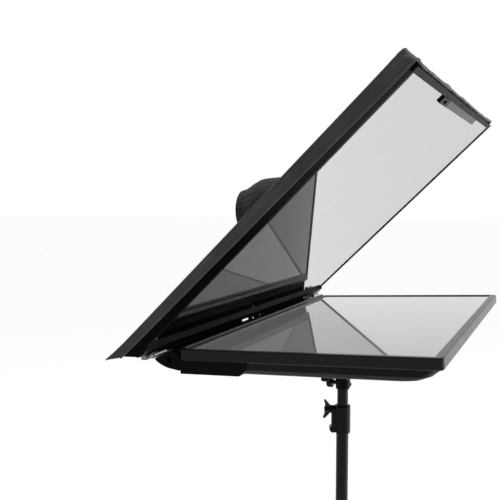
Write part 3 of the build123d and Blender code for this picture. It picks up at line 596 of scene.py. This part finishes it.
hem = [row[0] for row in bandGrid]
welt = cordAlong("hood_welt", hem, hood["weltRadius"])
hoodWelt = onFrame(welt, weltFinish)
rim = [row[-1] for row in bandGrid]
piping = cordAlong("hood_piping", rim, hood["pipingRadius"])
hoodPiping = onFrame(piping, weltFinish)
print("hood band made")

# the sleeve round the lens
elasticLow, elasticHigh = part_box("sleeve_elastic")
mouthCentre = (elasticLow + elasticHigh) / 2
sleeve = {
    "radius": spans("lens_sleeve")[0][1],
    "mouthInset": 0.0009,                      # the cloth's mouth lies inside the elastic
    "taper": 0.052,
    "gathers": 30,
    "gatherDepth": 0.0026,
    "gatherUneven": 0.8,
    "gatherLoose": 0.15,                       # shares along the loose part and the drawn end
    "gatherDrawn": 0.85,
    "gatherFlat": 0.7,                         # how far the elastic presses them flat
    "wave": 0.0032,
    "waveLength": 2.0,
    "waveRipple": (0.42, 7.0),
    "turns": 120,
    "rings": 26,
    "seamLift": 0.0006,
    "seamRadius": 0.0012,
}
mouthRadius = (elasticHigh.x - elasticLow.x) / 2 - sleeve["mouthInset"]


def ringOffset(angle, radius):
    return radius * (math.cos(angle) * across + math.sin(angle) * deck)


# where a line along the lens meets the hood's back plane
def onBackPlane(p):
    return p + aim * ((hood["backN"] - p.dot(back)) / aim.dot(back))


# the straight tail meets the back panel in an ellipse
def tailPoint(angle):
    return onBackPlane(mouthCentre + ringOffset(angle, sleeve["radius"]))


def sleevePoint(angle, k):
    reach = (mouthCentre - tailPoint(angle)).dot(aim)
    far = reach * (1 - k)                      # distance left to the mouth
    drawn = min(1.0, max(0.0, 1 - far / sleeve["taper"]))
    drawn = drawn * drawn * (3 - 2 * drawn)
    radius = sleeve["radius"] + (mouthRadius - sleeve["radius"]) * drawn
    slack = math.sin(math.pi * k)
    uneven = sleeve["gatherUneven"] * math.sin(3 * angle)
    fold = sleeve["gatherDepth"] * math.cos(sleeve["gathers"] * angle + uneven)
    atMouth = sleeve["gatherDrawn"] * drawn * (1 - sleeve["gatherFlat"] * drawn)
    radius += fold * (sleeve["gatherLoose"] * slack + atMouth)
    down = sleeve["waveLength"] * k
    wave = ripple(math.cos(angle), math.sin(angle), down, *sleeve["waveRipple"])
    radius += sleeve["wave"] * slack * wave
    return mouthCentre - aim * far + ringOffset(angle, radius)


turnAngles = [2 * math.pi * i / sleeve["turns"] for i in range(sleeve["turns"])]
sleeveGrid = []
for angle in turnAngles:
    ringSteps = range(sleeve["rings"] + 1)
    sleeveGrid.append([sleevePoint(angle, j / sleeve["rings"]) for j in ringSteps])
sleeveMesh = gridMesh("lens_sleeve_cloth", sleeveGrid, closeRows=True)
lensSleeve = thicken(sleeveMesh, hood["cloth"], 0.0)
onFrame(lensSleeve, sleeveFinish)
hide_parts("lens_sleeve")
sleeveLength = sum((row[-1] - row[0]).length for row in sleeveGrid) / sleeve["turns"]
seamRing = [tailPoint(a) + back * sleeve["seamLift"] for a in turnAngles]
seam = cordAlong("sleeve_seam", seamRing, sleeve["seamRadius"], closed=True)
sleeveSeam = onFrame(seam, weltFinish)
print("lens sleeve made")

# the back panel is drawn from its outer seam towards the sleeve
panel = {
    "acrossSteps": 96,
    "upSteps": 60,
    "rings": 44,
    "sag": 0.006,
    "sagEven": 0.35,
    "sagRipple": (0.14, 3.0),
    "folds": 0.0022,
    "foldCount": 17,
    "foldUneven": 2.2,
    "foldFade": 3.2,                           # how fast the folds die out away from the sleeve
    "foldRise": 9,
    "wrinkle": 0.0032,
    "wrinkleRipple": (0.03, 9.0),
}


def perimeter():
    half, top = hood["halfWidth"], hood["top"]
    foot = footAt(hood["backN"])
    corners = [(-half, foot), (half, foot), (half, top), (-half, top)]
    points = []
    for k, (x0, s0) in enumerate(corners):
        x1, s1 = corners[(k + 1) % 4]
        steps = panel["acrossSteps"] if k % 2 == 0 else panel["upSteps"]
        for i in range(steps):
            points.append((x0 + (x1 - x0) * i / steps, s0 + (s1 - s0) * i / steps))
    return points


# the foot is straight between the corners, and the rest follows the band's edge
def outerPoint(x, s):
    spot = place(x, s, hood["backN"])
    onFoot = abs(s - footAt(hood["backN"])) < 1e-6
    if onFoot and abs(x) < hood["halfWidth"] - 1e-4:
        return spot
    return min(rim, key=lambda p: (p - spot).length_squared)


def spoke(x, s):
    heading = math.atan2(s - footS, x - footX)
    inner = tailPoint(math.atan2(math.sin(heading) * tall, math.cos(heading)))
    outer = outerPoint(x, s)
    uneven = panel["foldUneven"] * math.sin(2 * heading)
    points = []
    for j in range(panel["rings"] + 1):
        k = j / panel["rings"]
        p = inner.lerp(outer, k)
        slack = math.sin(math.pi * k)
        even = panel["sagEven"] + ripple(p.x, p.dot(up), 0.0, *panel["sagRipple"])
        push = panel["sag"] * slack * even
        pull = math.sin(panel["foldCount"] * heading + uneven) * math.exp(-k * panel["foldFade"])
        push += panel["folds"] * (pull * min(1.0, panel["foldRise"] * k))
        wrinkle = ripple(p.x, p.dot(up), 0.0, *panel["wrinkleRipple"])
        push += panel["wrinkle"] * slack * wrinkle
        points.append(p + back * push)
    return points


sleeveFoot = onBackPlane(mouthCentre)
footX, footS = sleeveFoot.x, sleeveFoot.dot(up)
tall = deck.dot(up)
panelGrid = [spoke(x, s) for x, s in perimeter()]
panelMesh = gridMesh("hood_back_panel", panelGrid, closeRows=True)
hoodBack = thicken(panelMesh, hood["cloth"], 0.0)
onFrame(hoodBack, liningFinish)
print("back panel made")

# the soft foam under the frame reaches past the rail's edge and shuts out the light
foam = {"reach": 0.0035}
seal = bpy.data.objects.new("light_seal_foam", nodes["light_seal"].data.copy())
bpy.context.collection.objects.link(seal)
heights = [v.co.dot(deck) for v in seal.data.vertices]
halfway = (min(heights) + max(heights)) / 2
for vertex, height in zip(seal.data.vertices, heights):
    if height < halfway:
        vertex.co = vertex.co - deck * foam["reach"]
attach(seal, "glass_frame")
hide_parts("light_seal")
print("foam made")

# cloth sizes, as cut
panelTall = hood["top"] - footAt(hood["backN"])
panelWide = 2 * hood["halfWidth"]
ellipseArea = math.pi * sleeve["radius"] ** 2 / abs(tall)
bandLength * hood["longCut"]
bandWidth * hood["wideCut"]
panelWide * panelTall - ellipseArea
2 * math.pi * sleeve["radius"]

# a pale floor and an open white room, both darker towards the viewer's side
studio = {
    "floorHalf": 40.0,
    "floorDrop": 0.0005,
    "floorColour": (0.80, 0.80, 0.80),
    "floorRough": 0.9,
    "floorGlow": 0.80,
    "floorNear": 0.28,
    "floorReach": (-0.8, 1.6),                 # the floor turns pale between these, in metres
    "brightWay": (0.90, 0.10, 0.42),
    "brightReach": (-0.30, 0.40),
    "dim": 0.12,
    "bright": 1.0,
    "highReach": (0.16, 0.45),
    "highFall": 0.80,
    "topLight": 40.0,
    "topSize": 2.4,
    "topPlace": (0.4, -0.3, 3.4),
}
black, white = (0.0, 0.0, 0.0), (1.0, 1.0, 1.0)
floorSize = 2 * studio["floorHalf"]
bpy.ops.mesh.primitive_plane_add(size=floorSize, location=(0, 0, -studio["floorDrop"]))
floor = bpy.context.object
floor.name = "floor"
floorMaterial, floorFinish = newFinish("floor")
floorSpot = floorFinish.node("TexCoord").wire("Object")
floorX = floorFinish.node("SeparateXYZ", inputs={0: floorSpot}).wire(0)
# painted light: the floor glows, plain white to the camera; to all other rays its glow and colour
# dim towards the viewer's side
floorRise = floorFinish.ease(floorX, *studio["floorReach"], studio["floorNear"], 1.0)
floorSeen = floorFinish.node("LightPath").wire("Is Camera Ray")
floorLevel = floorRise + (1.0 - floorRise) * floorSeen
floorFinish.surface({
    "Base Color": floorFinish.blend(floorLevel, black, studio["floorColour"]),
    "Roughness": studio["floorRough"],
    "Emission Color": floorFinish.blend(floorLevel, black, white),
    "Emission Strength": studio["floorGlow"],
})
floor.data.materials.append(floorMaterial)

world = bpy.data.worlds.new("room")
world.use_nodes = True
bpy.context.scene.world = world
room = Finish(world.node_tree)
direction = room.node("TexCoord").wire("Generated")
way = tuple(Vector(studio["brightWay"]).normalized())
towards = {0: direction, 1: way}
facing = room.node("VectorMath", {"operation": "DOT_PRODUCT"}, towards).wire("Value")
level = room.ease(facing, *studio["brightReach"], studio["dim"], studio["bright"])
height = room.node("SeparateXYZ", inputs={0: direction}).wire(2)
fall = room.ease(height, *studio["highReach"], 0.0, studio["highFall"])
level = level * (1.0 - fall)
seen = room.node("LightPath").wire("Is Camera Ray")
strength = level + (1.0 - level) * seen        # the camera itself sees plain white
glow = room.node("Background", inputs={"Color": white, "Strength": strength}).wire(0)
room.node("OutputWorld", inputs={"Surface": glow})

lamp = bpy.data.lights.new("top_softbox", "AREA")
lamp.energy = studio["topLight"]
lamp.size = studio["topSize"]
softbox = bpy.data.objects.new("top_softbox", lamp)
softbox.location = studio["topPlace"]
softbox.visible_camera = False
softbox.visible_glossy = False
bpy.context.collection.objects.link(softbox)

view = {
    "from": (-1.3726, -0.267494, 1.337249),
    "heading": 24.43,                          # degrees from the row's length towards its back
    "dip": 4.243,
    "lens": 51.84,
    "sensor": 36.0,
    "reach": 200.0,
}
eye = bpy.data.cameras.new("viewer")
eye.lens = view["lens"]
eye.sensor_width = view["sensor"]
eye.clip_end = view["reach"]
viewer = bpy.data.objects.new("viewer", eye)
viewer.location = view["from"]
viewer.rotation_euler = (math.radians(90 - view["dip"]), 0, math.radians(view["heading"] - 90))
bpy.context.collection.objects.link(viewer)
bpy.context.scene.camera = viewer
bpy.context.scene.view_settings.view_transform = "Standard"
print("studio made")
